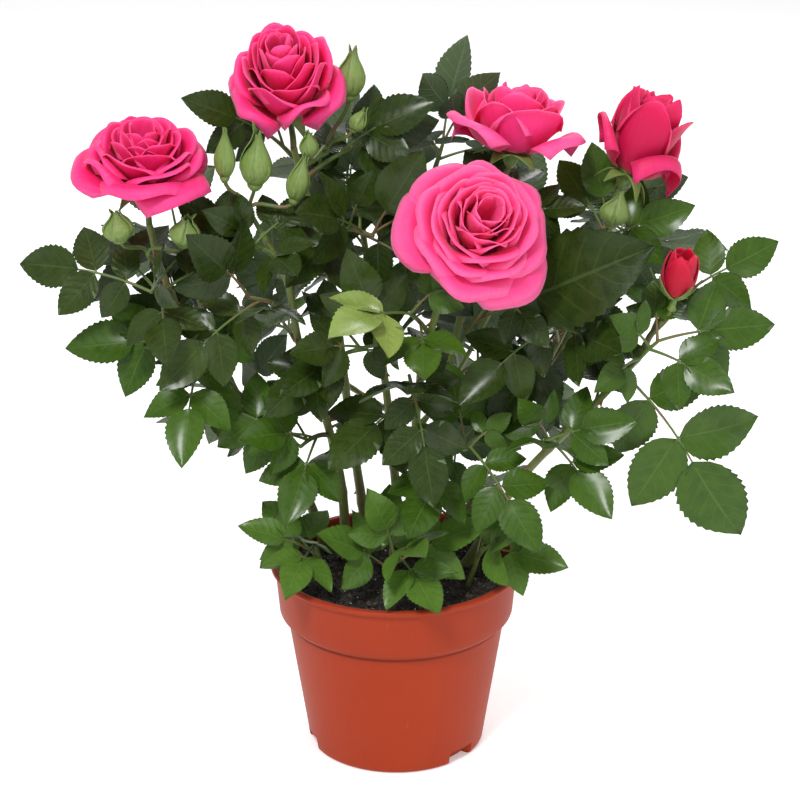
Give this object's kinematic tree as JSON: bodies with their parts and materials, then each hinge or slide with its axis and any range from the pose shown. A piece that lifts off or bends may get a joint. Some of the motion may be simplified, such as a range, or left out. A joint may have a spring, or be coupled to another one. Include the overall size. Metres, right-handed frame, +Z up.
{
  "type": "potted rose bush",
  "caption": "Miniature rose bush with open blooms, buds and leaf sprays on green canes, growing in a round tapered terracotta-coloured nursery pot.",
  "frame": {"origin": "centre of the pot's flat underside", "axes": "+X to the right as seen from the show side, +Y away from the viewer, +Z up along the pot's axis"},
  "size_m": [0.3446, 0.2149, 0.3399],
  "materials": {
    "pot": "matt terracotta-coloured plastic, satin at the lip",
    "peat": "damp dark peat with pale perlite grains",
    "bark": "smooth green cane with a reddish flush",
    "leaf": "dark green, slightly glossy",
    "young_leaf": "fresh light green, glossy",
    "petal_pink": "soft velvety pink",
    "petal_red": "soft velvety red",
    "bud": "satin light green"
  },
  "bodies": {
    "root": {"bloom_front": "petal_pink", "bloom_left": "petal_pink", "bloom_opening": "petal_red", "bloom_right": "petal_pink", "bloom_top_left": "petal_pink", "bloom_top_right": "petal_pink", "bough_back_left": "bark", "bough_back_right": "bark", "bough_back_top": "bark", "bough_left_back": "bark", "bough_right_back": "bark", "buds_front_left": "bud", "buds_left": "bud", "buds_right": "bud", "buds_top_left": "bud", "cane_back": "bark", "cane_centre": "bark", "cane_far_right": "bark", "cane_front_left": "bark", "cane_left": "bark", "cane_right": "bark", "cane_top_left": "bark", "cane_top_right": "bark", "leaves_back": "leaf", "leaves_back_left": "leaf", "leaves_back_low": "leaf", "leaves_back_low_left": "leaf", "leaves_back_mid": "leaf", "leaves_back_right": "leaf", "leaves_back_top": "leaf", "leaves_centre_left": "leaf", "leaves_centre_low": "leaf", "leaves_centre_top": "leaf", "leaves_centre_young": "young_leaf", "leaves_far_right": "leaf", "leaves_front_low": "leaf", "leaves_left_back": "leaf", "leaves_left_bud": "leaf", "leaves_left_inner": "leaf", "leaves_left_low": "leaf", "leaves_left_top": "leaf", "leaves_mid_left": "leaf", "leaves_middle": "leaf", "leaves_middle_left": "leaf", "leaves_right_back": "leaf", "leaves_right_big": "leaf", "leaves_right_hanging": "leaf", "leaves_right_inner": "leaf", "leaves_right_low": "leaf", "leaves_right_outer": "leaf", "leaves_right_top": "leaf", "leaves_top_centre": "leaf", "leaves_top_left": "leaf", "leaves_top_right": "leaf", "pot": "pot", "soil": "peat", "sprout_back": "young_leaf", "sprout_front": "young_leaf", "sprout_left": "young_leaf", "sprout_right": "young_leaf"}
  },
  "joints": []
}
